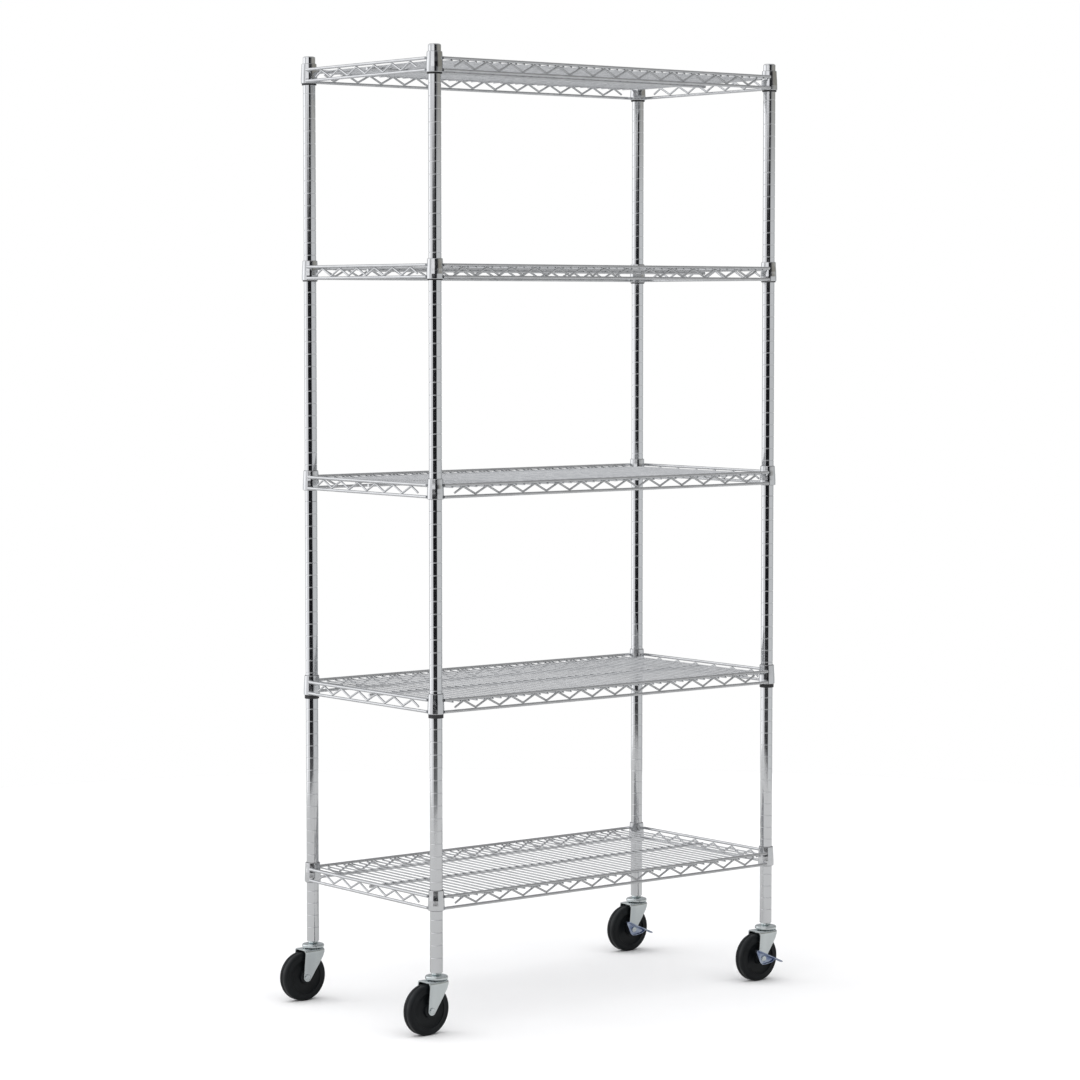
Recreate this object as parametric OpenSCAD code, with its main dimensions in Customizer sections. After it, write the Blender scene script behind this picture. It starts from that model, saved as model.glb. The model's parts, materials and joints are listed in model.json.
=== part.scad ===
// Five-shelf wire rack on four swivel casters. X runs along the length, Y along the depth and Z up.
// The origin is on the floor, under the middle of the whole rack. All sizes are in millimetres.

/* [Rack] */
// Distance between post centres along the length
post_pitch_x = 882; // [700:1:1200]
// Distance between post centres along the depth
post_pitch_y = 432; // [360:1:600]
// Outside diameter of a post
post_diameter = 25.4; // [25:0.1:26]
// Wall thickness of a post tube
post_wall = 1.2; // [1:0.1:1.6]
// Distance between the ring grooves on a post
groove_pitch = 25.4; // [25:0.1:26]
// Depth of a ring groove
groove_depth = 0.5; // [0.45:0.05:0.7]
// Grooves on each half of a post
grooves_per_half = 36; // [36:1:40]

/* [Shelves] */
// Groove that carries the first shelf, counted down from the post top
shelf_1_groove = 0; // [0:1:4]
// Groove that carries the second shelf
shelf_2_groove = 16; // [10:1:18]
// Groove that carries the third shelf
shelf_3_groove = 33; // [28:1:33]
// Groove that carries the fourth shelf
shelf_4_groove = 50; // [45:1:52]
// Groove that carries the fifth shelf
shelf_5_groove = 65; // [60:1:66]
// Height of a shelf's corner collar
collar_height = 40; // [38:0.5:42]
// Outside radius of a corner collar near its foot
collar_radius = 16.8; // [16.6:0.1:17]
// Diameter of the horizontal frame wires
frame_wire = 6; // [5.6:0.1:6.4]
// Diameter of the zigzag wires
zigzag_wire = 4.2; // [3.8:0.1:4.6]
// Diameter of the deck wires
deck_wire = 3.1; // [2.6:0.1:3.4]
// Deck wires on each shelf
deck_wires = 42; // [30:2:42]
// Distance between the upper and lower frame wires
frame_drop = 23.2; // [22:0.1:24]

/* [Casters] */
// Wheel diameter
wheel_diameter = 101.6; // [96:0.1:102]
// Width of a wheel's tread
wheel_width = 25; // [22:0.5:28]
// Distance from the swivel axis back to the axle
trail = 27; // [24:0.5:32]
// Height from the floor to the foot of a post
caster_height = 122; // [122:0.1:126]
// Angle of the front left caster about its stem
swivel_front_left = 3; // [-20:1:20]
// Angle of the front right caster about its stem
swivel_front_right = 0; // [-20:1:20]
// Angle of the back left caster about its stem
swivel_back_left = 0; // [-20:1:20]
// Angle of the back right caster about its stem
swivel_back_right = 0; // [-20:1:20]

/* [Hidden] */
corners = ["front_left", "front_right", "back_left", "back_right"];
levels = [1, 2, 3, 4, 5];
braked = [1, 3];

fine = 48;
sliver = 0.05;          // clearance between parts that turn or slide on each other
weld = 0.15;            // how far one wire sinks into the next where they are welded

chrome = [0.78, 0.79, 0.80];
zinc = [0.72, 0.75, 0.76];
blue_zinc = [0.62, 0.67, 0.74];
black = [0.06, 0.06, 0.065];
rubber = [0.10, 0.105, 0.11];

// Posts
post_r = post_diameter / 2;
bore_r = post_r - post_wall;
half_length = groove_pitch * grooves_per_half;
post_foot = caster_height;
post_tail = 5;          // plain tube below the lowest groove pitch
post_joint = post_foot + post_tail + half_length;
post_top = post_joint + half_length;
cap_rim = 3;            // visible height of a cap above its tube
cap_skirt = 16;
groove_half = 1;        // half the width of a groove at the surface
groove_flat = 0.4;      // half the width of a groove's floor
edge = 1;               // chamfer on a tube's open ends
stud_length = 70;
nut_length = 24;
stem_thread_r = 6;

// Shelf heights: a collar's top is a little below the groove its shelf is counted from
shelf_groove = [shelf_1_groove, shelf_2_groove, shelf_3_groove, shelf_4_groove, shelf_5_groove];
collar_below_groove = [15, 11.5, 12.5, 6.5, 17.5];
sleeve_below_collar = [3.5, 2.5, 0.6, 8, 1];
function collar_top(k) = post_top - groove_pitch * shelf_groove[k - 1] - collar_below_groove[k - 1];
function rib_height(k) = post_top - groove_pitch * (shelf_groove[k - 1] + 1);

// Sleeves and the collars that wedge on them
sleeve_top_r = 13.9;
sleeve_foot_r = 15.1;
sleeve_proud = 0.5;     // sleeve top above collar top
sleeve_straight = 8;    // length of the straight part below a collar's top
sleeve_edge = 0.4;
sleeve_slit = 1;
rib_half = 0.6;
rib_depth = 0.35;
collar_edge = 0.4;
collar_top_r = 15.3;
collar_waist_r = 16.4;

// Wires, as depths of their centres below a collar's top
frame_r = frame_wire / 2;
zig_r = zigzag_wire / 2;
deck_r = deck_wire / 2;
frame_top_z = 12.6;
frame_low_z = frame_top_z + frame_drop;
deck_z = frame_top_z + frame_r + deck_r - weld;
support_z = deck_z + deck_r + frame_r - weld;
wire_out = 14;          // frame wires' centres outside the post centres
wire_short = 10.5;      // how far a frame wire stops short of the post centre
deck_reach = post_pitch_y / 2 + wire_out + frame_r - 0.4;
deck_end_reach = post_pitch_y / 2 - collar_radius + 2;     // the outermost deck wires end at the collars

// Zigzag wires
long_pitch = 60.1;
deck_pitch = long_pitch / 3;    // keeps the deck wires clear of the long zigzags' peaks
short_pitch = 61;
zig_sides = 8;
zig_in = 3;             // how far their plane lies inside the frame wires
zig_lap = sqrt(pow(frame_r + zig_r - weld, 2) - pow(zig_in, 2));
zig_peak_z = frame_top_z + zig_lap;
zig_foot_z = frame_low_z - zig_lap;
zig_end_run = 22;       // run of a loose end that hangs down from a peak
zig_end_part = 0.8;     // part of the height that it hangs down
zig_rise = 0.83;        // part of the slope left on a loose end that rises from a low point
long_first = 60.4;
long_peaks = floor((post_pitch_x - long_first - 90) / long_pitch) + 1;
short_first = 62;
short_peaks = floor((post_pitch_y - short_first - 50) / short_pitch) + 1;

// Casters, about the swivel axis with the wheel trailing to -X
wheel_r = wheel_diameter / 2;
wheel_half = wheel_width / 2;
hub_half = 16.4;
axle_r = 5;
leg_in = 17;
leg_t = 2.5;
leg_out = leg_in + leg_t;
plate_top = caster_height - 14;
plate_low = plate_top - leg_t;
fork_back = -32;
fork_front = 16;
leg_foot_r = 9.3;
bend_r = 6;
pin_r = 6;
ball_r = 2.45;
ball_ring = 16;
balls = 12;
cup_r = 23;
cup_low = plate_top + 2;
cup_roof = plate_top + 5;
cup_top = caster_height - 2.6;
neck_r = 10;
swivel = [swivel_front_left, swivel_front_right, swivel_back_left, swivel_back_right];

// Brake levers, about the axle
lever_in = leg_out + 2.6;
lever_t = 2;
lever_wide = 12;
lever_tray = [[-21, 21], [-23, 16], [-12, -8], [-6, -12.5], [4, -13], [21, -10.5], [28, -7], [30, -3]];
pedal_end = [48, -11];

// The wheels and levers stick out on one side, so the posts stand a little off the origin
reach_back = (trail + wheel_r) * cos(swivel_back_left);
reach_front = pedal_end[0] - trail;
shift_x = (reach_back - reach_front) / 2;
reach_near = lever_in + lever_t + lever_wide;
shift_y = (reach_near - wire_out - frame_r) / 2;

function corner_x(i) = shift_x + (i % 2 == 0 ? -1 : 1) * post_pitch_x / 2;
function corner_y(i) = shift_y + (i < 2 ? -1 : 1) * post_pitch_y / 2;

// Outline of a tube with a ring groove at each height in the list
function groove_points(z) = [
    [post_r, z + groove_half],
    [post_r - groove_depth, z + groove_flat],
    [post_r - groove_depth, z - groove_flat],
    [post_r, z - groove_half]
];

module tube(low, high, grooves) {
    outside = [for (z = grooves) each groove_points(z)];
    rotate_extrude($fn = fine)
        polygon(concat(
            [[bore_r, low], [bore_r, high], [post_r - edge / 2, high], [post_r, high - edge / 2]],
            outside,
            [[post_r, low + edge], [post_r - edge, low]]
        ));
}

module at_corner(i) {
    translate([corner_x(i), corner_y(i), 0])
        children();
}

module at_caster(i) {
    at_corner(i)
        rotate([0, 0, swivel[i]])
            children();
}

module upper_post(i) {
    grooves = [for (g = [1:grooves_per_half - 1]) post_top - groove_pitch * g];
    color(chrome)
        at_corner(i)
            tube(post_joint, post_top - cap_rim, grooves);
}

module lower_post(i) {
    grooves = [for (g = [1:grooves_per_half - 1]) post_joint - groove_pitch * g];
    color(chrome)
        at_corner(i)
            tube(post_foot, post_joint, grooves);
}

module post_caps() {
    color(chrome)
        for (i = [0:3])
            at_corner(i)
                rotate_extrude($fn = fine)
                    polygon([
                        [0, post_top - cap_rim - cap_skirt],
                        [bore_r - 1, post_top - cap_rim - cap_skirt],
                        [bore_r - sliver, post_top - cap_rim - cap_skirt + 2],
                        [bore_r - sliver, post_top - cap_rim],
                        [post_r, post_top - cap_rim],
                        [post_r, post_top - cap_rim + 1],
                        [post_r - 1.2, post_top - 0.9],
                        [post_r - 3, post_top],
                        [0, post_top]
                    ]);
}

// Each stud is fixed in the foot of an upper post and screws down into the lower one
module post_studs() {
    color(zinc)
        for (i = [0:3])
            at_corner(i)
                rotate_extrude($fn = fine)
                    polygon([
                        [0, post_joint - stud_length / 2],
                        [7, post_joint - stud_length / 2],
                        [8, post_joint - stud_length / 2 + 1.5],
                        [8, post_joint - 12],
                        [bore_r - sliver, post_joint - 12],
                        [bore_r - sliver, post_joint + stud_length / 2],
                        [0, post_joint + stud_length / 2]
                    ]);
}

// Threaded inserts in the post feet that take the caster stems
module post_nuts() {
    color(zinc)
        for (i = [0:3])
            at_corner(i)
                translate([0, 0, post_foot + sliver])
                    difference() {
                        cylinder(r = bore_r - sliver, h = nut_length, $fn = fine);
                        translate([0, 0, -1])
                            cylinder(r = stem_thread_r + sliver, h = nut_length + 2, $fn = fine);
                    }
}

// Two half sleeves on each post, with a rib inside that sits in a groove
module sleeves(k) {
    top = collar_top(k) + sleeve_proud;
    collar_foot = collar_top(k) - collar_height;
    low = collar_foot - sleeve_below_collar[k - 1];
    inner = post_r + sliver;
    rib = rib_height(k);
    color(black)
        for (i = [0:3])
            at_corner(i)
                difference() {
                    rotate_extrude($fn = fine)
                        polygon([
                            [inner, top],
                            [sleeve_top_r, top],
                            [sleeve_top_r, collar_top(k) - sleeve_straight],
                            [sleeve_foot_r, collar_foot],
                            [sleeve_foot_r, low + sleeve_edge],
                            [sleeve_foot_r - sleeve_edge, low],
                            [inner, low],
                            [inner, rib - rib_half],
                            [post_r - rib_depth, rib - rib_half / 2],
                            [post_r - rib_depth, rib + rib_half / 2],
                            [inner, rib + rib_half]
                        ]);
                    translate([-collar_radius, -sleeve_slit / 2, low - 1])
                        cube([2 * collar_radius, sleeve_slit, top - low + 2]);
                }
}

module collars(k) {
    top = collar_top(k);
    foot = top - collar_height;
    color(chrome)
        for (i = [0:3])
            at_corner(i)
                rotate_extrude($fn = fine)
                    polygon([
                        [sleeve_foot_r + sliver, foot],
                        [collar_radius - collar_edge, foot],
                        [collar_radius, foot + 2 * collar_edge],
                        [collar_radius, foot + collar_height / 4],
                        [collar_waist_r, top - collar_height / 2],
                        [collar_top_r, top - 0.6],
                        [collar_top_r - 0.4, top],
                        [sleeve_top_r + sliver, top],
                        [sleeve_top_r + sliver, top - sleeve_straight]
                    ]);
}

module rod_x(y, z, x_low, x_high, r) {
    translate([shift_x + x_low, shift_y + y, z])
        rotate([0, 90, 0])
            cylinder(r = r, h = x_high - x_low, $fn = fine);
}

module rod_y(x, z, y_low, y_high, r) {
    translate([shift_x + x, shift_y + y_high, z])
        rotate([90, 0, 0])
            cylinder(r = r, h = y_high - y_low, $fn = fine);
}

module frame(k) {
    half_x = post_pitch_x / 2;
    half_y = post_pitch_y / 2;
    support_reach = half_x + wire_out - zig_in - zig_r - 0.3;
    color(chrome) {
        for (drop = [frame_top_z, frame_low_z]) {
            z = collar_top(k) - drop;
            for (s = [-1, 1]) {
                rod_x(s * (half_y + wire_out), z, wire_short - half_x, half_x - wire_short, frame_r);
                rod_y(s * (half_x + wire_out), z, wire_short - half_y, half_y - wire_short, frame_r);
            }
        }
        rod_x(0, collar_top(k) - support_z, -support_reach, support_reach, frame_r);
    }
}

module deck(k) {
    color(chrome)
        for (w = [0:deck_wires + 1]) {
            x = (w - (deck_wires + 1) / 2) * deck_pitch;
            reach = w == 0 || w > deck_wires ? deck_end_reach : deck_reach;
            rod_y(x, collar_top(k) - deck_z, -reach, reach, deck_r);
        }
}

// Corner points of a zigzag wire: distance along the side, then depth below the collar top
function zig_path(first, pitch, peaks, rising_end) =
    let (last = first + (peaks - 1) * pitch)
    let (rise = zig_peak_z - zig_foot_z)
    let (end_z = zig_peak_z - zig_end_part * rise)
    concat(
        [[first - zig_end_run, end_z], [first, zig_peak_z]],
        [for (p = [1:peaks - 1]) each [
            [first + (p - 0.5) * pitch, zig_foot_z],
            [first + p * pitch, zig_peak_z]
        ]],
        rising_end
            ? [[last + 0.5 * pitch, zig_foot_z],
               [last + 0.5 * (1 + zig_rise) * pitch, zig_foot_z + zig_rise * rise]]
            : [[last + zig_end_run, end_z]]
    );

function unit(v) = v / norm(v);

// Direction square to the path at a point, stretched so that the mitre keeps the wire's width
function mitre(path, n) =
    let (last = len(path) - 1)
    let (a = unit(n == 0 ? path[1] - path[0] : path[n] - path[n - 1]))
    let (b = unit(n == last ? path[n] - path[n - 1] : path[n + 1] - path[n]))
    let (m = unit([-a[1] - b[1], a[0] + b[0]]))
    m / (m * [-a[1], a[0]]);

module zig_run(path) {
    count = len(path);
    points = [
        for (n = [0:count - 1], j = [0:zig_sides - 1])
            let (m = mitre(path, n) * zig_r * cos(360 * j / zig_sides))
            [path[n][0] + m[0], zig_r * sin(360 * j / zig_sides), -path[n][1] - m[1]]
    ];
    sides = [
        for (n = [0:count - 2], j = [0:zig_sides - 1])
            let (next = (j + 1) % zig_sides)
            [n * zig_sides + j, (n + 1) * zig_sides + j, (n + 1) * zig_sides + next, n * zig_sides + next]
    ];
    start = [for (j = [0:zig_sides - 1]) j];
    finish = [for (j = [zig_sides - 1:-1:0]) (count - 1) * zig_sides + j];
    polyhedron(points = points, faces = concat(sides, [start, finish]));
}

module zigzag(k) {
    half_x = post_pitch_x / 2;
    half_y = post_pitch_y / 2;
    long_path = zig_path(long_first, long_pitch, long_peaks, true);
    short_path = zig_path(short_first, short_pitch, short_peaks, false);
    color(chrome)
        translate([shift_x, shift_y, collar_top(k)]) {
            translate([-half_x, zig_in - half_y - wire_out, 0])
                zig_run(long_path);
            translate([half_x, half_y + wire_out - zig_in, 0])
                rotate([0, 0, 180])
                    zig_run(long_path);
            translate([zig_in - half_x - wire_out, half_y, 0])
                rotate([0, 0, -90])
                    zig_run(short_path);
            translate([half_x + wire_out - zig_in, -half_y, 0])
                rotate([0, 0, 90])
                    zig_run(short_path);
        }
}

// Threaded stem, neck, domed ball cup and king pin of a caster, all fixed to the post
module stem(i) {
    color(zinc)
        at_caster(i)
            rotate_extrude($fn = fine)
                polygon([
                    [0, plate_low - 3],
                    [8, plate_low - 3],
                    [9.5, plate_low - 1.5],
                    [9.5, plate_low - 2 * sliver],
                    [pin_r, plate_low - 2 * sliver],
                    [pin_r, plate_top + 2 * sliver],
                    [9, plate_top + 1],
                    [9, cup_roof],
                    [cup_r - 1.6, cup_roof],
                    [cup_r - 1.6, cup_low],
                    [cup_r, cup_low],
                    [cup_r, cup_roof],
                    [cup_r - 0.6, cup_roof + 1.8],
                    [cup_r - 2.6, cup_top - 2.6],
                    [cup_r - 7, cup_top - 1],
                    [neck_r, cup_top],
                    [neck_r, caster_height - sliver],
                    [stem_thread_r, caster_height - sliver],
                    [stem_thread_r, caster_height + 22],
                    [stem_thread_r - 1, caster_height + 23],
                    [0, caster_height + 23]
                ]);
}

module bearing(i) {
    color(zinc)
        at_caster(i)
            for (b = [0:balls - 1])
                rotate([0, 0, 360 * b / balls])
                    translate([ball_ring, 0, (plate_top + cup_roof) / 2])
                        sphere(r = ball_r, $fn = fine);
}

// Outline of the pressed fork seen from the side
function leg_outline() = concat(
    [[fork_back, plate_top], [fork_back, plate_low - 4]],
    [for (a = [180:15:330]) [leg_foot_r * cos(a) - trail, leg_foot_r * sin(a) + wheel_r]],
    [[leg_foot_r * cos(335) - trail, leg_foot_r * sin(335) + wheel_r],
     [fork_front - 3, plate_low - 14], [fork_front, plate_low - 6], [fork_front, plate_top]]
);

// Outline of the bent sheet seen from the front, outside then inside
function channel_outline(half, top, r) = concat(
    [[-half, 0]],
    [for (a = [180:-18:90]) [r * cos(a) - half + r, r * sin(a) + top - r]],
    [for (a = [90:-18:0]) [r * cos(a) + half - r, r * sin(a) + top - r]],
    [[half, 0]]
);

module fork(i) {
    color(zinc)
        at_caster(i)
            difference() {
                intersection() {
                    translate([fork_back - leg_foot_r, 0, 0])
                        rotate([90, 0, 90])
                            linear_extrude(fork_front - fork_back + 2 * leg_foot_r)
                                difference() {
                                    polygon(channel_outline(leg_out, plate_top, bend_r));
                                    translate([0, -1])
                                        polygon(channel_outline(leg_in, plate_low + 1, bend_r - leg_t));
                                }
                    translate([0, leg_out + 1, 0])
                        rotate([90, 0, 0])
                            linear_extrude(2 * leg_out + 2)
                                polygon(leg_outline());
                }
                translate([0, 0, plate_low - 1])
                    cylinder(r = pin_r + sliver, h = leg_t + 2, $fn = fine);
                translate([-trail, leg_out + 1, wheel_r])
                    rotate([90, 0, 0])
                        cylinder(r = axle_r + sliver, h = 2 * leg_out + 2, $fn = fine);
            }
}

function has_brake(i) = len([for (b = braked) if (b == i) b]) > 0;

// Axle bolt, pointing to -Y from its nut
module axle(i) {
    near = has_brake(i) ? lever_in + lever_t : leg_out;
    head = near + 2 * sliver;
    color(zinc)
        at_caster(i)
            translate([-trail, 0, wheel_r])
                rotate([90, 0, 0])
                    rotate_extrude($fn = fine)
                        polygon([
                            [0, -leg_out - 6],
                            [7.5, -leg_out - 6],
                            [8.5, -leg_out - 5],
                            [8.5, -leg_out - 2 * sliver],
                            [axle_r, -leg_out - 2 * sliver],
                            [axle_r, head],
                            [6.2, head],
                            [6.2, head + 1.6],
                            [5, head + 2.6],
                            [0, head + 3]
                        ]);
}

module wheel(i) {
    color(rubber)
        at_caster(i)
            translate([-trail, 0, wheel_r])
                rotate([90, 0, 0])
                    rotate_extrude($fn = fine)
                        polygon(concat(
                            [[axle_r + sliver, -hub_half], [13, -hub_half], [14.5, -hub_half + 1.5],
                             [15.5, 3 - wheel_half], [36, 3 - wheel_half], [40, -wheel_half], [44, -wheel_half]],
                            [for (a = [-75:15:-15]) [wheel_r - 4 + 4 * cos(a), 6 - wheel_half + 6 * sin(a)]],
                            [[wheel_r, 6 - wheel_half], [wheel_r, wheel_half - 6]],
                            [for (a = [15:15:75]) [wheel_r - 4 + 4 * cos(a), wheel_half - 6 + 6 * sin(a)]],
                            [[44, wheel_half], [40, wheel_half], [36, wheel_half - 3], [15.5, wheel_half - 3],
                             [14.5, hub_half - 1.5], [13, hub_half], [axle_r + sliver, hub_half]]
                        ));
}

// Cam washer between the lever and the fork leg
module brake_cam(i) {
    color(blue_zinc)
        at_caster(i)
            translate([-trail, -leg_out - 2 * sliver, wheel_r])
                rotate([90, 0, 0])
                    difference() {
                        cylinder(r = 8.5, h = lever_in - leg_out - 4 * sliver, $fn = fine);
                        translate([0, 0, -1])
                            cylinder(r = axle_r + sliver, h = leg_t + 2, $fn = fine);
                    }
}

// Pressed side lever: a tray on the axle, its upper edge folded out into a long pedal
module brake_lever(i) {
    fold = unit(pedal_end - lever_tray[0]);
    under = [fold[1], -fold[0]] * lever_t;
    rim = [for (p = lever_tray) p - 1.8 * unit(p)];
    color(blue_zinc)
        at_caster(i)
            translate([-trail, -lever_in, wheel_r])
                rotate([90, 0, 0])
                    difference() {
                        union() {
                            linear_extrude(lever_t)
                                polygon(lever_tray);
                            linear_extrude(6)
                                difference() {
                                    polygon(lever_tray);
                                    polygon(rim);
                                }
                            linear_extrude(lever_t + lever_wide)
                                polygon([lever_tray[0], pedal_end, pedal_end + under, lever_tray[0] + under]);
                        }
                        translate([0, 0, -1])
                            cylinder(r = axle_r + sliver, h = lever_t + 2, $fn = fine);
                    }
}

for (i = [0:3]) {
    upper_post(i);
    lower_post(i);
    stem(i);
    bearing(i);
    fork(i);
    axle(i);
    wheel(i);
}
for (i = braked) {
    brake_cam(i);
    brake_lever(i);
}
post_caps();
post_studs();
post_nuts();
for (k = levels) {
    sleeves(k);
    collars(k);
    frame(k);
    zigzag(k);
    deck(k);
}
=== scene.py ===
"""Looks for the wire shelving rack: bent wires, pressed casters, plated and moulded materials, studio."""
import json
import math

import bmesh
import bpy
from mathutils import Matrix, Vector


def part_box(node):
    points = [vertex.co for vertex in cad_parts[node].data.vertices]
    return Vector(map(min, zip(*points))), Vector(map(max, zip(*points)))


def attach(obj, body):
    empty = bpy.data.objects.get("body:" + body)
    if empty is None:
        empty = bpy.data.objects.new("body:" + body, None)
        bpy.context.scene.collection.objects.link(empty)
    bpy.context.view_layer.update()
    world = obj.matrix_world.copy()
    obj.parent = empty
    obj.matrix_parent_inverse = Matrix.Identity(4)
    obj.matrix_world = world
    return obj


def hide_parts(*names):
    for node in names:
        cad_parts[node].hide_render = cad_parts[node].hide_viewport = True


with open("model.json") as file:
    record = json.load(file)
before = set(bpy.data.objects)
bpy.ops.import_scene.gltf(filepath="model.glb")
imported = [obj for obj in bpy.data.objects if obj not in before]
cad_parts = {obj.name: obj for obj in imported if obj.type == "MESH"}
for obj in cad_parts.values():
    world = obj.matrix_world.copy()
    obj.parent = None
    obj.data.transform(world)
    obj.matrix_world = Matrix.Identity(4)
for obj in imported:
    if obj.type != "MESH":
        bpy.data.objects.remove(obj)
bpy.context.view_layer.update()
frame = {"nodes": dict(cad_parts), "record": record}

MM = 0.001
CORNERS = ("front_left", "front_right", "back_left", "back_right")
BRAKED = ("front_right", "back_right")
LEVELS = (1, 2, 3, 4, 5)
NODES = frame["nodes"]


def middle(node):
    """Centre of a CAD node's box."""
    low, high = (Vector(p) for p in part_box(node))
    return (low + high) / 2


# Places read from the frame
POST = {c: middle(f"upper_post_{c}") for c in CORNERS}
CENTRE = sum((POST[c] for c in CORNERS), Vector()) / 4
HALF_X = (POST["front_right"].x - POST["front_left"].x) / 2
HALF_Y = (POST["back_left"].y - POST["front_left"].y) / 2
JOINT = {j["name"]: j for j in frame["record"]["behaviour"]["joints"]}


# ---------------------------------------------------------------- materials
def new_material(name):
    """A material with its node tree, its shader and the object's own coordinates."""
    mat = bpy.data.materials.new(name)
    mat.use_nodes = True
    tree = mat.node_tree
    shader = tree.nodes["Principled BSDF"]
    place = tree.nodes.new("ShaderNodeTexCoord")
    return mat, tree, shader, place.outputs["Object"]


def add_noise(tree, where, scale, detail=3.0, stretch=(1, 1, 1)):
    mapping = tree.nodes.new("ShaderNodeMapping")
    mapping.inputs["Scale"].default_value = stretch
    tree.links.new(where, mapping.inputs["Vector"])
    noise = tree.nodes.new("ShaderNodeTexNoise")
    noise.inputs["Scale"].default_value = scale
    noise.inputs["Detail"].default_value = detail
    tree.links.new(mapping.outputs["Vector"], noise.inputs["Vector"])
    return noise.outputs["Fac"]


def add_ramp(tree, fac, stops):
    ramp = tree.nodes.new("ShaderNodeValToRGB")
    ramp.color_ramp.elements[0].position = stops[0][0]
    ramp.color_ramp.elements[0].color = (*stops[0][1], 1)
    ramp.color_ramp.elements[1].position = stops[-1][0]
    ramp.color_ramp.elements[1].color = (*stops[-1][1], 1)
    for position, colour in stops[1:-1]:
        element = ramp.color_ramp.elements.new(position)
        element.color = (*colour, 1)
    tree.links.new(fac, ramp.inputs["Fac"])
    return ramp.outputs["Color"]


def add_range(tree, fac, low, high, start=0.35, end=0.65):
    span = tree.nodes.new("ShaderNodeMapRange")
    span.inputs["From Min"].default_value = start
    span.inputs["From Max"].default_value = end
    span.inputs["To Min"].default_value = low
    span.inputs["To Max"].default_value = high
    tree.links.new(fac, span.inputs["Value"])
    return span.outputs["Result"]


def add_bump(tree, shader, height, strength, distance):
    bump = tree.nodes.new("ShaderNodeBump")
    bump.inputs["Strength"].default_value = strength
    bump.inputs["Distance"].default_value = distance
    tree.links.new(height, bump.inputs["Height"])
    tree.links.new(bump.outputs["Normal"], shader.inputs["Normal"])


def plated(name, dark, light, rough, blotch=25.0, draw=(1, 1, 1), bump=0.05, bump_scale=900.0):
    """Plated metal: slow colour and gloss changes over the surface, and a fine drawn or pressed grain."""
    mat, tree, shader, where = new_material(name)
    shader.inputs["Metallic"].default_value = 1.0
    slow = add_noise(tree, where, blotch, 4.0, draw)
    quick = add_noise(tree, where, blotch * 4, 3.0, draw)
    tree.links.new(add_ramp(tree, slow, [(0.32, dark), (0.68, light)]), shader.inputs["Base Color"])
    tree.links.new(add_range(tree, quick, *rough), shader.inputs["Roughness"])
    add_bump(tree, shader, add_noise(tree, where, bump_scale, 2.0, draw), bump, 0.0002)
    return mat


def moulded(name, dark, light, rough, grain, bump, specular=0.5):
    """Moulded plastic or rubber: near black, with a fine matt grain and slight dusting."""
    mat, tree, shader, where = new_material(name)
    shader.inputs["Specular IOR Level"].default_value = specular
    slow = add_noise(tree, where, 18.0, 4.0)
    tree.links.new(add_ramp(tree, slow, [(0.35, dark), (0.7, light)]), shader.inputs["Base Color"])
    tree.links.new(add_range(tree, add_noise(tree, where, 60.0, 3.0), *rough), shader.inputs["Roughness"])
    add_bump(tree, shader, add_noise(tree, where, grain, 2.0), bump, 0.0003)
    return mat


CHROME = plated("post_chrome", (0.74, 0.75, 0.76), (0.82, 0.83, 0.84), (0.05, 0.10), 12.0, (1, 1, 0.15), 0.03)
WIRE = plated("wire_chrome", (0.60, 0.61, 0.62), (0.70, 0.71, 0.72), (0.12, 0.22), 40.0, bump=0.02)
# The deck wires use the frame wires' chrome with the base colour painted about 0.1 darker: painted shade,
# standing in for the duller reflection the deck shows.
SHADED_DECK_CHROME = plated("deck_chrome_painted_shade", (0.50, 0.51, 0.52), (0.60, 0.61, 0.62), (0.14, 0.24), 40.0, bump=0.02)
COLLAR = plated("collar_chrome", (0.70, 0.71, 0.72), (0.78, 0.79, 0.80), (0.08, 0.16), 30.0)
ZINC = plated("caster_zinc", (0.64, 0.69, 0.70), (0.78, 0.83, 0.83), (0.10, 0.18),
              35.0, (1, 1, 0.2), 0.02, 500.0)
BLUE_ZINC = plated("brake_zinc", (0.20, 0.26, 0.42), (0.58, 0.64, 0.74), (0.14, 0.24), 70.0, bump=0.03)
STEEL = plated("ball_steel", (0.50, 0.50, 0.52), (0.62, 0.62, 0.64), (0.10, 0.20), 80.0)
PLASTIC = moulded("sleeve_plastic", (0.012, 0.012, 0.013), (0.030, 0.030, 0.032), (0.35, 0.5), 1400.0, 0.15)
RUBBER = moulded("wheel_rubber", (0.003, 0.004, 0.005), (0.008, 0.010, 0.011), (0.34, 0.5), 700.0, 0.15, 0.25)


def finish_node(name, mat):
    for material_slot in NODES[name].material_slots:
        material_slot.material = mat


for c in CORNERS:
    finish_node(f"upper_post_{c}", CHROME)
    finish_node(f"lower_post_{c}", CHROME)
    finish_node(f"stem_{c}", ZINC)
    finish_node(f"axle_{c}", ZINC)
    finish_node(f"fork_{c}", ZINC)
    finish_node(f"bearing_{c}", STEEL)
    finish_node(f"wheel_{c}", RUBBER)
for c in BRAKED:
    finish_node(f"brake_cam_{c}", BLUE_ZINC)
    finish_node(f"brake_lever_{c}", BLUE_ZINC)
for k in LEVELS:
    finish_node(f"sleeves_{k}", PLASTIC)
    finish_node(f"collars_{k}", COLLAR)
    finish_node(f"frame_{k}", WIRE)
    finish_node(f"deck_{k}", SHADED_DECK_CHROME)
    finish_node(f"zigzag_{k}", WIRE)
finish_node("post_caps", CHROME)
finish_node("post_studs", ZINC)
finish_node("post_nuts", ZINC)


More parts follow.
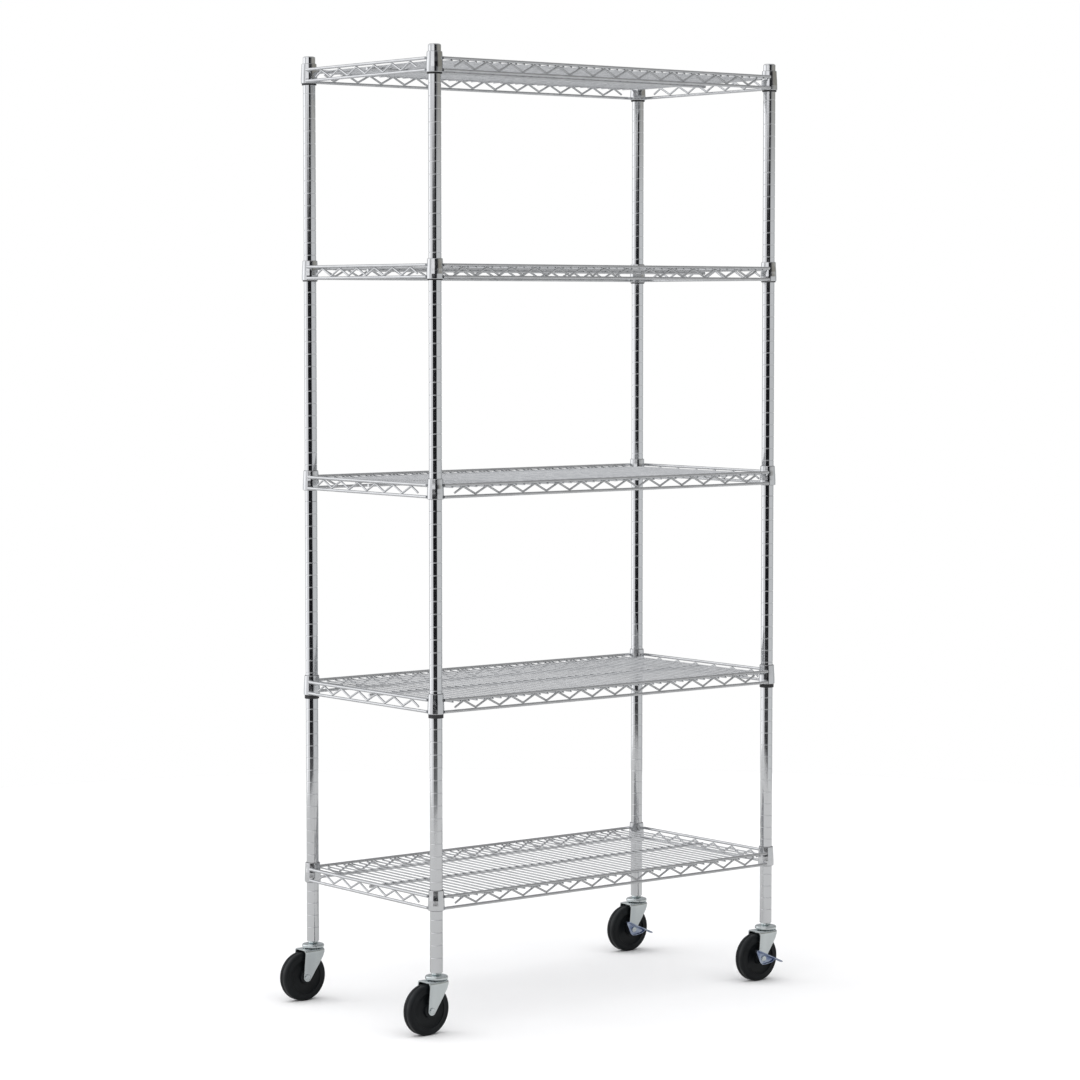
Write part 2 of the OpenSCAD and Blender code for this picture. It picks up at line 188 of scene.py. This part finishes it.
# ---------------------------------------------------------------- bent wires
FRAME_R = 3.0 * MM
ZIG_R = 2.1 * MM
DECK_R = 1.55 * MM
WELD = 0.15 * MM                # depth that a weld sinks one wire into the next
WIRE_OUT = 14.0 * MM            # frame wires outside the posts' centres
FRAME_TOP = 12.6 * MM           # upper and lower frame wires below the collars' tops
FRAME_LOW = 35.8 * MM
DECK_WIRES = 42                 # wires that reach across, besides the two outermost ones
DECK_REACH = HALF_Y + WIRE_OUT + FRAME_R - 0.3 * MM
DECK_END_REACH = HALF_Y - 14.8 * MM
ZIG_IN = 3.0 * MM               # zigzags inside the frame wires' centres
ZIG_BEND_R = 4.5 * MM
ZIG_END_RUN = 22.0 * MM         # loose ends: distance along the side, and part of the full height
ZIG_END_PART = 0.8
ZIG_RISE_PART = 0.83            # part of a full rise that ends a long zigzag
LONG_FIRST = 60.4 * MM          # first peak from the post's centre
LONG_PITCH = 60.1 * MM
LONG_PEAKS = 13
SHORT_FIRST = 62.0 * MM
SHORT_PITCH = 61.0 * MM
SHORT_PEAKS = 6


def rounded(points, radius, steps=5):
    """The path through the points with every inner corner turned on an arc of that radius."""
    path = [points[0]]
    for before, corner, after in zip(points, points[1:], points[2:]):
        back, ahead = (before - corner).normalized(), (after - corner).normalized()
        half = back.angle(ahead) / 2
        reach = radius / math.tan(half)
        centre = corner + (back + ahead).normalized() * (radius / math.sin(half))
        start, end = corner + back * reach - centre, corner + ahead * reach - centre
        axis = start.cross(end).normalized()
        turn = start.angle(end)
        path += [centre + Matrix.Rotation(turn * s / steps, 3, axis) @ start for s in range(steps + 1)]
    return path + [points[-1]]


def wires(name, paths, radius, body, mat, sides=3):
    """One curve object with a round wire along each path."""
    data = bpy.data.curves.new(name, "CURVE")
    data.dimensions = "3D"
    data.bevel_depth = radius
    data.bevel_resolution = sides
    data.use_fill_caps = True
    for path in paths:
        spline = data.splines.new("POLY")
        spline.points.add(len(path) - 1)
        for point, place in zip(spline.points, path):
            point.co = (*place, 1)
        spline.use_smooth = True
    data.materials.append(mat)
    piece = bpy.data.objects.new(name, data)
    bpy.context.scene.collection.objects.link(piece)
    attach(piece, body)
    return piece


def deck_paths(k):
    """Straight wires from front to back, the two outermost ones shorter so that they clear the collars."""
    z = middle(f"deck_{k}").z
    paths = []
    for w in range(DECK_WIRES + 2):
        x = CENTRE.x + (w - (DECK_WIRES + 1) / 2) * LONG_PITCH / 3
        reach = DECK_REACH if 0 < w <= DECK_WIRES else DECK_END_REACH
        paths.append([Vector((x, CENTRE.y - reach, z)), Vector((x, CENTRE.y + reach, z))])
    return paths


def zig_path(first, pitch, peaks, rising_end, high, low):
    """Corner points of a zigzag as (distance along the side, height)."""
    loose = high - ZIG_END_PART * (high - low)
    path = [(first - ZIG_END_RUN, loose), (first, high)]
    for p in range(1, peaks):
        path += [(first + (p - 0.5) * pitch, low), (first + p * pitch, high)]
    last = first + (peaks - 1) * pitch
    if rising_end:
        end = last + (1 + ZIG_RISE_PART) * pitch / 2
        return path + [(last + pitch / 2, low), (end, low + ZIG_RISE_PART * (high - low))]
    return path + [(last + ZIG_END_RUN, loose)]


def zigzag_paths(k):
    """One zigzag on each side of the shelf, between the upper and lower frame wires."""
    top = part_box(f"collars_{k}")[1][2]
    lap = math.sqrt((FRAME_R + ZIG_R - WELD) ** 2 - ZIG_IN ** 2)
    peak, foot = top - FRAME_TOP - lap, top - FRAME_LOW + lap
    inset = WIRE_OUT - ZIG_IN
    long_side = zig_path(LONG_FIRST, LONG_PITCH, LONG_PEAKS, True, peak, foot)
    short_side = zig_path(SHORT_FIRST, SHORT_PITCH, SHORT_PEAKS, False, peak, foot)
    x0, x1 = CENTRE.x - HALF_X, CENTRE.x + HALF_X
    y0, y1 = CENTRE.y - HALF_Y, CENTRE.y + HALF_Y
    sides = [
        [Vector((x0 + s, y0 - inset, z)) for s, z in long_side],
        [Vector((x1 - s, y1 + inset, z)) for s, z in long_side],
        [Vector((x0 - inset, y1 - s, z)) for s, z in short_side],
        [Vector((x1 + inset, y0 + s, z)) for s, z in short_side],
    ]
    return [rounded(side, ZIG_BEND_R) for side in sides]


for k in LEVELS:
    deck = wires(f"deck_wires_{k}", deck_paths(k), DECK_R, f"shelf_{k}", SHADED_DECK_CHROME, 2)
    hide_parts(f"deck_{k}")
    zigzag = wires(f"zigzag_wires_{k}", zigzag_paths(k), ZIG_R, f"shelf_{k}", WIRE, 3)
    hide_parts(f"zigzag_{k}")


# ---------------------------------------------------------------- turned and pressed parts
def add_piece(name, mesh, body, mat, replaced=None):
    """A smooth-shaded object for the mesh, riding on its body."""
    mesh.materials.append(mat)
    piece = bpy.data.objects.new(name, mesh)
    bpy.context.scene.collection.objects.link(piece)
    for face in mesh.polygons:
        face.use_smooth = True
    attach(piece, body)
    if replaced:
        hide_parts(replaced)
    return piece


def soften(piece, width=0.4 * MM, angle=35, segments=2):
    """Rounds the sharp edges a little and keeps the flats flat."""
    bevel = piece.modifiers.new("edges", "BEVEL")
    bevel.width = width
    bevel.segments = segments
    bevel.limit_method = "ANGLE"
    bevel.angle_limit = math.radians(angle)
    bevel.harden_normals = True
    return piece


def arc(cx, cy, r, start, end, steps=6):
    """Points on an arc, with the angles in degrees."""
    turn = [math.radians(start + (end - start) * s / steps) for s in range(steps + 1)]
    return [(cx + r * math.cos(t), cy + r * math.sin(t)) for t in turn]


def lathe(name, profile, place, body, mat, replaced=None, around=96):
    """A turned piece: (radius, height) points in millimetres spun about the local Z axis of place."""
    mesh_data = bmesh.new()
    rings = []
    for radius, height in profile:
        if radius < 0.01:
            rings.append([mesh_data.verts.new(place @ Vector((0, 0, height * MM)))])
            continue
        rings.append([
            mesh_data.verts.new(place @ Vector((
                radius * MM * math.cos(2 * math.pi * j / around),
                radius * MM * math.sin(2 * math.pi * j / around),
                height * MM)))
            for j in range(around)
        ])
    closed = len(rings[0]) > 1 and len(rings[-1]) > 1
    pairs = list(zip(rings, rings[1:])) + ([(rings[-1], rings[0])] if closed else [])
    for a, b in pairs:
        for j in range(around):
            n = (j + 1) % around
            if len(a) == 1:
                mesh_data.faces.new((a[0], b[n], b[j]))
            elif len(b) == 1:
                mesh_data.faces.new((a[j], a[n], b[0]))
            else:
                mesh_data.faces.new((a[j], a[n], b[n], b[j]))
    bmesh.ops.recalc_face_normals(mesh_data, faces=mesh_data.faces)
    mesh = bpy.data.meshes.new(name)
    mesh_data.to_mesh(mesh)
    mesh_data.free()
    return soften(add_piece(name, mesh, body, mat, replaced), 0.3 * MM, 40)


# Casters, in millimetres above the floor and ahead of the swivel's axis
TRAIL = 27.0
WHEEL_R = 50.8
WHEEL_HALF = 12.5               # half the tread's width
HUB_HALF = 16.4
TREAD_R = 5.5                   # rounding of the tread's shoulders
PLATE_TOP = 108.0
STEM_FOOT = 121.95              # where the post stands on the stem
STEM_TOP = 145.0
LEG_OUT = 19.5
LEG_T = 2.5
BEND_R = 6.0
FOOT_R = 9.3
FORK_BACK, FORK_FRONT = -32.0, 16.0
BACK_TURN_Z = 101.5             # above this a leg's back edge is upright
FRONT_TURN_Z = 91.5             # a leg's front edge turns steeper here, and upright at the next height
FRONT_TOP_Z = 99.5
FRONT_STEP = 3.0
TANGENT_DOWN, TANGENT_AHEAD = 3.9, 8.4      # from the axle to where the front edge leaves the round foot
CREASE_X = 2.0                  # ahead of this line a leg leans inward
CREASE_LEAN = 0.12              # by this part of the distance ahead of the line
CREASE_FADE = 12.0              # height below the plate over which the lean begins
STRIP_COLUMNS = 16
LEG_ROWS = 14
LEVER_IN = LEG_OUT + 2.6        # a lever's inner face from the wheel's middle
LEVER_T = 2.0
LEVER_RIM_TOP = 5.5
LEVER_RIM_T = 1.6
PEDAL_T = 1.8
PEDAL_DEEP = 14.0
LIP_R = 1.5


def caster_place(c):
    """From the caster's own frame, with the wheel trailing to -X, to its place under the post."""
    axis = JOINT[f"spin_{c}"]["axis"]
    swivel = Matrix.Rotation(math.atan2(-axis[0], axis[1]), 4, "Z")
    return Matrix.Translation((POST[c].x, POST[c].y, 0)) @ swivel


def axle_place(c):
    """Along the axle, pointing to the caster's -Y side."""
    axle = Matrix.Translation((-TRAIL * MM, 0, WHEEL_R * MM))
    return caster_place(c) @ axle @ Matrix.Rotation(math.pi / 2, 4, "X")


def between(z, z0, x0, z1, x1):
    """The x at height z on the straight line from (x0, z0) to (x1, z1)."""
    return x0 + (x1 - x0) * (z - z0) / (z1 - z0)


def leg_edges(z):
    """Back and front edges of a fork leg at that height."""
    foot_half = math.sqrt(max(FOOT_R ** 2 - (WHEEL_R - z) ** 2, 0.04))
    if z < WHEEL_R:
        back = -TRAIL - foot_half
    elif z < BACK_TURN_Z:
        back = between(z, WHEEL_R, -TRAIL - FOOT_R, BACK_TURN_Z, FORK_BACK)
    else:
        back = FORK_BACK
    tangent_z, turn_x = WHEEL_R - TANGENT_DOWN, FORK_FRONT - FRONT_STEP
    if z < tangent_z:
        front = -TRAIL + foot_half
    elif z < FRONT_TURN_Z:
        front = between(z, tangent_z, -TRAIL + TANGENT_AHEAD, FRONT_TURN_Z, turn_x)
    else:
        front = min(between(z, FRONT_TURN_Z, turn_x, FRONT_TOP_Z, FORK_FRONT), FORK_FRONT)
    return back, front


def fork(c):
    """One pressed strip: up a leg, over the swivel plate and down the other leg."""
    leg_top = PLATE_TOP - BEND_R
    leg_z = [WHEEL_R - FOOT_R * math.cos(math.radians(t)) for t in range(4, 91, 10)]
    leg_z += [WHEEL_R + (leg_top - WHEEL_R) * s / LEG_ROWS for s in range(1, LEG_ROWS + 1)]
    near = [(-LEG_OUT, z) for z in leg_z]
    bend = [(-y, z) for y, z in arc(LEG_OUT - BEND_R, leg_top, BEND_R, 0, 90)][1:]
    flat = [((LEG_OUT - BEND_R) * (s / 3 - 1), PLATE_TOP) for s in range(1, 6)]
    path = near + bend + flat
    path += [(-y, z) for y, z in reversed(near + bend)]
    place = caster_place(c)
    mesh_data = bmesh.new()
    rows = []
    for y, z in path:
        back, front = leg_edges(z)
        side = 1 if y > 0 else -1
        upright = min(max((PLATE_TOP - z) / CREASE_FADE, 0), 1) if abs(y) > LEG_OUT - 1 else 0
        row = []
        for j in range(STRIP_COLUMNS + 1):
            x = back + (front - back) * j / STRIP_COLUMNS
            inward = CREASE_LEAN * max(x - CREASE_X, 0) * upright
            row.append(mesh_data.verts.new(place @ Vector((x * MM, (y - side * inward) * MM, z * MM))))
        rows.append(row)
    for a, b in zip(rows, rows[1:]):
        for j in range(STRIP_COLUMNS):
            mesh_data.faces.new((a[j], a[j + 1], b[j + 1], b[j]))
    bmesh.ops.recalc_face_normals(mesh_data, faces=mesh_data.faces)
    mesh = bpy.data.meshes.new(f"pressed_fork_{c}")
    mesh_data.to_mesh(mesh)
    mesh_data.free()
    piece = add_piece(f"pressed_fork_{c}", mesh, f"fork_{c}", ZINC, f"fork_{c}")
    up = mesh.polygons[len(mesh.polygons) // 2].normal.z
    solid = piece.modifiers.new("sheet", "SOLIDIFY")
    solid.thickness = LEG_T * MM
    solid.offset = -1 if up > 0 else 1
    return soften(piece, 0.5 * MM, 50)


def wheel(c):
    """Hard rubber wheel, turned: hub, dished web, a ridge and the rounded tread with a mould line."""
    hub = [(5.06, HUB_HALF), (12.5, HUB_HALF)] + arc(13, HUB_HALF - 1.2, 1.2, 70, 0, 3) + [(14.8, 9.6)]
    web = [(16.5, 9.2), (24, 8.9), (34, 9.4)] + arc(39, WHEEL_HALF - 0.6, 3.2, 200, 110, 4)[:3]
    ridge = [(40.5, WHEEL_HALF - 0.15), (43.5, WHEEL_HALF)]
    tread = arc(WHEEL_R - TREAD_R, WHEEL_HALF - TREAD_R, TREAD_R, 80, 5, 8)
    tread += [(WHEEL_R, WHEEL_HALF - 6.5), (WHEEL_R, 0.8), (WHEEL_R - 0.25, 0.4)]
    profile = hub + web + ridge + tread
    mirror = [(r, -z) for r, z in reversed(profile)]
    return lathe(f"rubber_wheel_{c}", profile + mirror, axle_place(c),
                 f"wheel_{c}", RUBBER, f"wheel_{c}", 128)


def stem(c):
    """King pin with its head, the ball cup over the bearing, and the plain stem up into the post."""
    pin = [(0, 102.5), (8, 102.5), (9.3, 103.8), (9.5, 105.3), (6, 105.4), (6, 108.1), (9, 109), (9, 112.8)]
    cup = [(21.4, 112.8), (21.4, 110.2), (22.8, 110), (23, 111)] + arc(19.6, PLATE_TOP + 5.0, 3.4, 0, 75, 6)
    cup += [(16, 117.6), (12.5, 118.5), (10.4, 119.0), (10, 119.6)]
    bolt = [(10, STEM_FOOT), (6, STEM_FOOT), (6, STEM_TOP - 1), (5, STEM_TOP), (0, STEM_TOP)]
    return lathe(f"ball_cup_{c}", pin + cup + bolt, caster_place(c), "rack", ZINC, f"stem_{c}")


def lever(c):
    """Pressed tray on the axle, with a rim, and the long fold that ends in the pedal."""
    tray = [(-21, 21), (-23, 16), (-12, -8), (-6, -12.5), (4, -13), (21, -10.5), (28, -7), (30, -3)]
    start, pedal = Vector(tray[0]), Vector((48, -11))
    length = (pedal - start).length
    along = (pedal - start).normalized()
    under = Vector((along.y, -along.x))
    place = axle_place(c) @ Matrix.Translation((0, 0, LEVER_IN * MM))
    outline = [Vector((*p, 0)) for p in tray]
    loop = rounded([outline[-1]] + outline + [outline[0]], 1.2, 3)[1:-1]
    mesh_data = bmesh.new()

    def placed(flat, out):
        """A point of the lever's plane, raised off the wheel."""
        return place @ Vector((flat[0] * MM, flat[1] * MM, out * MM))

    def shell(below, above):
        """A closed solid between two matching outlines."""
        mesh_data.faces.new(below)
        mesh_data.faces.new(list(reversed(above)))
        for n in range(len(below)):
            m = (n + 1) % len(below)
            mesh_data.faces.new((below[n], above[n], above[m], below[m]))

    def prism(points, low, high):
        shell([mesh_data.verts.new(placed(p, low)) for p in points],
              [mesh_data.verts.new(placed(p, high)) for p in points])

    prism(loop, 0, LEVER_T)
    inner = [p - p.normalized() * LEVER_RIM_T for p in loop]
    for n in range(len(loop)):
        m = (n + 1) % len(loop)
        prism((loop[n], loop[m], inner[m], inner[n]), LEVER_T - 0.1, LEVER_RIM_TOP)
    fold = [(0, 0), (0, PEDAL_DEEP - 1), (length * 0.55, PEDAL_DEEP)]
    fold += arc(length - 6, 8, 6, 90, -90, 8) + [(length * 0.6, 1)]
    shell([mesh_data.verts.new(placed(start + along * x, out)) for x, out in fold],
          [mesh_data.verts.new(placed(start + along * x + under * PEDAL_T, out)) for x, out in fold])
    bmesh.ops.recalc_face_normals(mesh_data, faces=mesh_data.faces)
    mesh = bpy.data.meshes.new(f"pressed_lever_{c}")
    mesh_data.to_mesh(mesh)
    mesh_data.free()
    lip = [(length * 0.55, 12)] + arc(length - 6.5, 7.5, 4.6, 90, -90, 8) + [(length * 0.62, 3)]
    lip_path = [placed(start + along * x + under * PEDAL_T / 2, out) for x, out in lip]
    wires(f"pedal_lip_{c}", [lip_path], LIP_R * MM, f"lever_{c}", BLUE_ZINC, 3)
    piece = add_piece(f"pressed_lever_{c}", mesh, f"lever_{c}", BLUE_ZINC, f"brake_lever_{c}")
    return soften(piece, 0.3 * MM, 40)


for c in CORNERS:
    fork(c)
    wheel(c)
    stem(c)
for c in BRAKED:
    lever(c)


# ---------------------------------------------------------------- studio
FLOOR_R = 3.4
CAMERA_TURN = math.radians(38.39)
CAMERA_DIP = math.radians(3.905)
CAMERA_FROM_CENTRE = (-4.398, -5.542)
CAMERA_HEIGHT = 1.437
VIEW = Vector((-math.sin(CAMERA_TURN), -math.cos(CAMERA_TURN), 0))
RIGHT = Vector((-VIEW.y, VIEW.x, 0))


def make_floor():
    """Pale round floor, which the plating sees as mid grey."""
    bpy.ops.mesh.primitive_circle_add(vertices=128, radius=FLOOR_R, fill_type="NGON",
                                      location=(CENTRE.x, CENTRE.y, 0))
    floor = bpy.context.object
    floor.name = "floor"
    mat, tree, shader, where = new_material("floor")
    pale = add_ramp(tree, add_noise(tree, where, 3.0), [(0.3, (0.90, 0.90, 0.90)), (0.7, (0.92, 0.92, 0.92))])
    mix = tree.nodes.new("ShaderNodeMix")
    mix.data_type = "RGBA"
    tree.links.new(tree.nodes.new("ShaderNodeLightPath").outputs["Is Glossy Ray"], mix.inputs["Factor"])
    tree.links.new(pale, mix.inputs["A"])
    mix.inputs["B"].default_value = (0.50, 0.50, 0.50, 1)
    tree.links.new(mix.outputs["Result"], shader.inputs["Base Color"])
    shader.inputs["Roughness"].default_value = 0.9
    floor.data.materials.append(mat)


def make_world():
    """The room that the plating mirrors, in bands by height, and the plain white behind the rack."""
    world = bpy.data.worlds.new("studio")
    bpy.context.scene.world = world
    world.use_nodes = True
    tree = world.node_tree
    direction = tree.nodes.new("ShaderNodeTexCoord").outputs["Generated"]

    def maths(kind, *values):
        node = tree.nodes.new("ShaderNodeMath")
        node.operation = kind
        for socket, value in zip(node.inputs, values):
            if isinstance(value, float):
                socket.default_value = value
            else:
                tree.links.new(value, socket)
        return node.outputs[0]

    def along(axis):
        node = tree.nodes.new("ShaderNodeVectorMath")
        node.operation = "DOT_PRODUCT"
        tree.links.new(direction, node.inputs[0])
        node.inputs[1].default_value = axis
        return node.outputs["Value"]

    def blend(fac, a, b):
        node = tree.nodes.new("ShaderNodeMix")
        node.data_type = "RGBA"
        tree.links.new(fac, node.inputs["Factor"])
        tree.links.new(a, node.inputs["A"])
        tree.links.new(b, node.inputs["B"])
        return node.outputs["Result"]

    def turn_ramp(stops):
        """Colours by degrees to the right of the viewer, from -180 to 180."""
        return add_ramp(tree, turn, [(d / 360 + 0.5, colour) for d, colour in stops])

    turn = maths("MULTIPLY_ADD", maths("ARCTAN2", along(RIGHT), along(VIEW)), 1 / (2 * math.pi), 0.5)
    rise = along((0, 0, 1))
    white, pale, grey, dim = (1.0, 1.0, 1.02), (0.8, 0.8, 0.82), (0.62, 0.63, 0.64), (0.42, 0.43, 0.44)
    black, brown, glow = (0.01, 0.01, 0.012), (0.27, 0.26, 0.23), (1.25, 1.25, 1.27)
    soft, shade = (0.60, 0.60, 0.61), (0.40, 0.40, 0.41)
    level = turn_ramp([(-180, dim), (-140, grey), (-115, glow), (-95, glow), (-80, pale), (-48, pale),
                       (-40, black), (24, black), (32, grey), (100, grey), (140, dim), (180, dim)])
    raised = turn_ramp([(-180, dim), (-145, dim), (-120, glow), (-95, glow), (-60, dim), (-50, white),
                        (-8, white), (2, black), (40, black), (60, brown), (120, brown), (180, dim)])
    low = turn_ramp([(-180, dim), (-90, pale), (0, grey), (90, grey), (180, dim)])
    overhead = turn_ramp([(-180, shade), (-155, shade), (-130, white), (-115, glow), (-80, white),
                          (-20, soft), (40, shade), (180, shade)])
    # Each band gives way to the next between two heights, given as the sine of the angle above the horizon
    colour = low
    for band, start, end in ((level, -0.16, -0.135), (raised, 0.03, 0.075), (overhead, 0.16, 0.5)):
        colour = blend(add_range(tree, rise, 0, 1, start, end), colour, band)
    room = tree.nodes["Background"]
    tree.links.new(colour, room.inputs["Color"])
    plain = tree.nodes.new("ShaderNodeBackground")
    plain.inputs["Color"].default_value = (1, 1, 1, 1)
    mix = tree.nodes.new("ShaderNodeMixShader")
    tree.links.new(tree.nodes.new("ShaderNodeLightPath").outputs["Is Camera Ray"], mix.inputs["Fac"])
    tree.links.new(room.outputs["Background"], mix.inputs[1])
    tree.links.new(plain.outputs["Background"], mix.inputs[2])
    tree.links.new(mix.outputs["Shader"], tree.nodes["World Output"].inputs["Surface"])


def make_light():
    """One broad soft light from above for the floor and the plastics; the plating mirrors only the room."""
    data = bpy.data.lights.new("key", "SUN")
    data.energy = 2.2
    data.angle = math.radians(100)
    light = bpy.data.objects.new("key", data)
    bpy.context.scene.collection.objects.link(light)
    light.rotation_euler = (math.radians(12), math.radians(-10), 0)
    light.visible_glossy = False


def make_camera():
    """Long lens from the front left, a little above the middle of the rack."""
    data = bpy.data.cameras.new("camera")
    data.lens = 112.33
    data.sensor_width = 36
    data.clip_end = 100
    camera = bpy.data.objects.new("camera", data)
    bpy.context.scene.collection.objects.link(camera)
    camera.location = (CENTRE.x + CAMERA_FROM_CENTRE[0], CENTRE.y + CAMERA_FROM_CENTRE[1], CAMERA_HEIGHT)
    camera.rotation_euler = (math.pi / 2 - CAMERA_DIP, 0, -CAMERA_TURN)
    bpy.context.scene.camera = camera


make_floor()
make_world()
make_light()
make_camera()
bpy.context.scene.view_settings.view_transform = "Standard"
